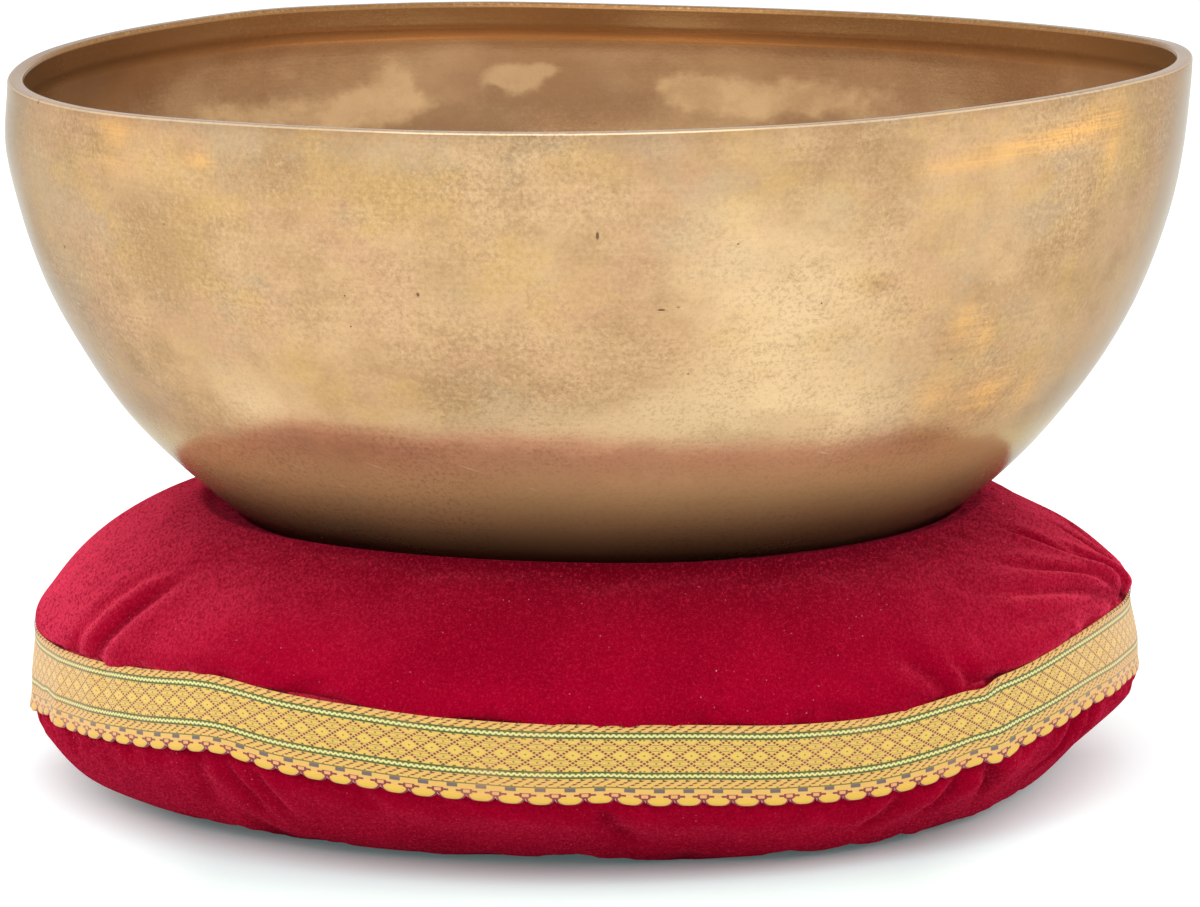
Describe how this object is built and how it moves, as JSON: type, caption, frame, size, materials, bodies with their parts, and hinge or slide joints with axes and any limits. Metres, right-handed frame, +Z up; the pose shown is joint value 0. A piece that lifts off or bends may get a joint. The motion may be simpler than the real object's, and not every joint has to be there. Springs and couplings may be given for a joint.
{
  "type": "singing bowl",
  "caption": "Wide hammered bronze singing bowl resting loose in the dent of a round velvet cushion with a brocade ribbon sewn round its waist; the bowl lifts straight off.",
  "frame": {"origin": "where the bowl's axis meets the floor that the cushion rests on", "axes": "+Z up along the bowl's axis, -Y towards the viewer of the picture, +X to the viewer's right"},
  "size_m": [0.3, 0.3, 0.1805],
  "materials": {
    "hammered_bronze": "satin hand-hammered bronze with a mottled patina",
    "crimson_velvet": "short crimson pile, paler where it is seen at a slant",
    "cotton_stuffing": "loose cotton filling",
    "gold_brocade": "woven gold ribbon with lozenges, chevrons and a scalloped edge",
    "crimson_thread": "matt sewing thread",
    "maroon_thread": "matt sewing thread",
    "pale_thread": "matt sewing thread"
  },
  "bodies": {
    "cushion": {"cushion_top_panel": "crimson_velvet", "cushion_bottom_panel": "crimson_velvet", "cushion_filling": "cotton_stuffing", "brocade_ribbon": "gold_brocade", "waist_seam_thread": "crimson_thread", "ribbon_upper_thread": "maroon_thread", "ribbon_lower_thread": "pale_thread"},
    "bowl": {"bowl": "hammered_bronze"}
  },
  "joints": [
    {"name": "bowl_lift", "type": "slide", "parent": "cushion", "child": "bowl", "axis": [0, 0, 1], "range_m": [0, 0.12]}
  ]
}
